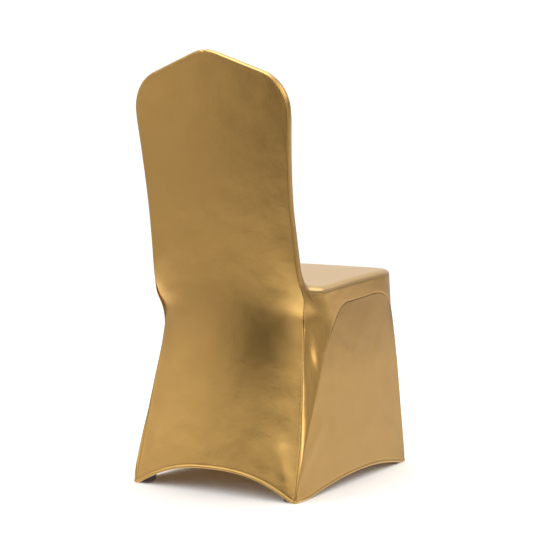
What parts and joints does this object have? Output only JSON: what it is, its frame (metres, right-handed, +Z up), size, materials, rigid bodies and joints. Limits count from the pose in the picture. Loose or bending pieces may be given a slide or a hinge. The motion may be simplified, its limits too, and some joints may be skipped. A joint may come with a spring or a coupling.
{
  "type": "stretch chair cover",
  "caption": "Fitted cover of metallic stretch cloth for a banquet chair, with a peaked back, a padded seat, arched hems and foot pockets.",
  "frame": {"origin": "on the floor under the middle of the cover's box", "axes": "+Z up, -Y the way that the seat faces, X across, with x = 0 the plane of symmetry"},
  "size_m": [0.418, 0.5522, 0.9435],
  "materials": {
    "gold_cloth": "metallic gold stretch knit, satin",
    "seat_cloth": "metallic gold stretch knit, satin, paler where it faces up",
    "side_cloth": "metallic gold stretch knit, satin",
    "pocket_cloth": "dark brown plain knit, matte"
  },
  "bodies": {
    "root": {"back_panel": "gold_cloth", "front_panel": "seat_cloth", "front_apron": "gold_cloth", "side_band_right": "gold_cloth", "side_band_left": "gold_cloth", "arch_right": "side_cloth", "arch_left": "side_cloth", "foot_pocket_rear_right": "pocket_cloth", "foot_pocket_rear_left": "pocket_cloth", "foot_pocket_front_right": "pocket_cloth", "foot_pocket_front_left": "pocket_cloth"}
  },
  "joints": []
}
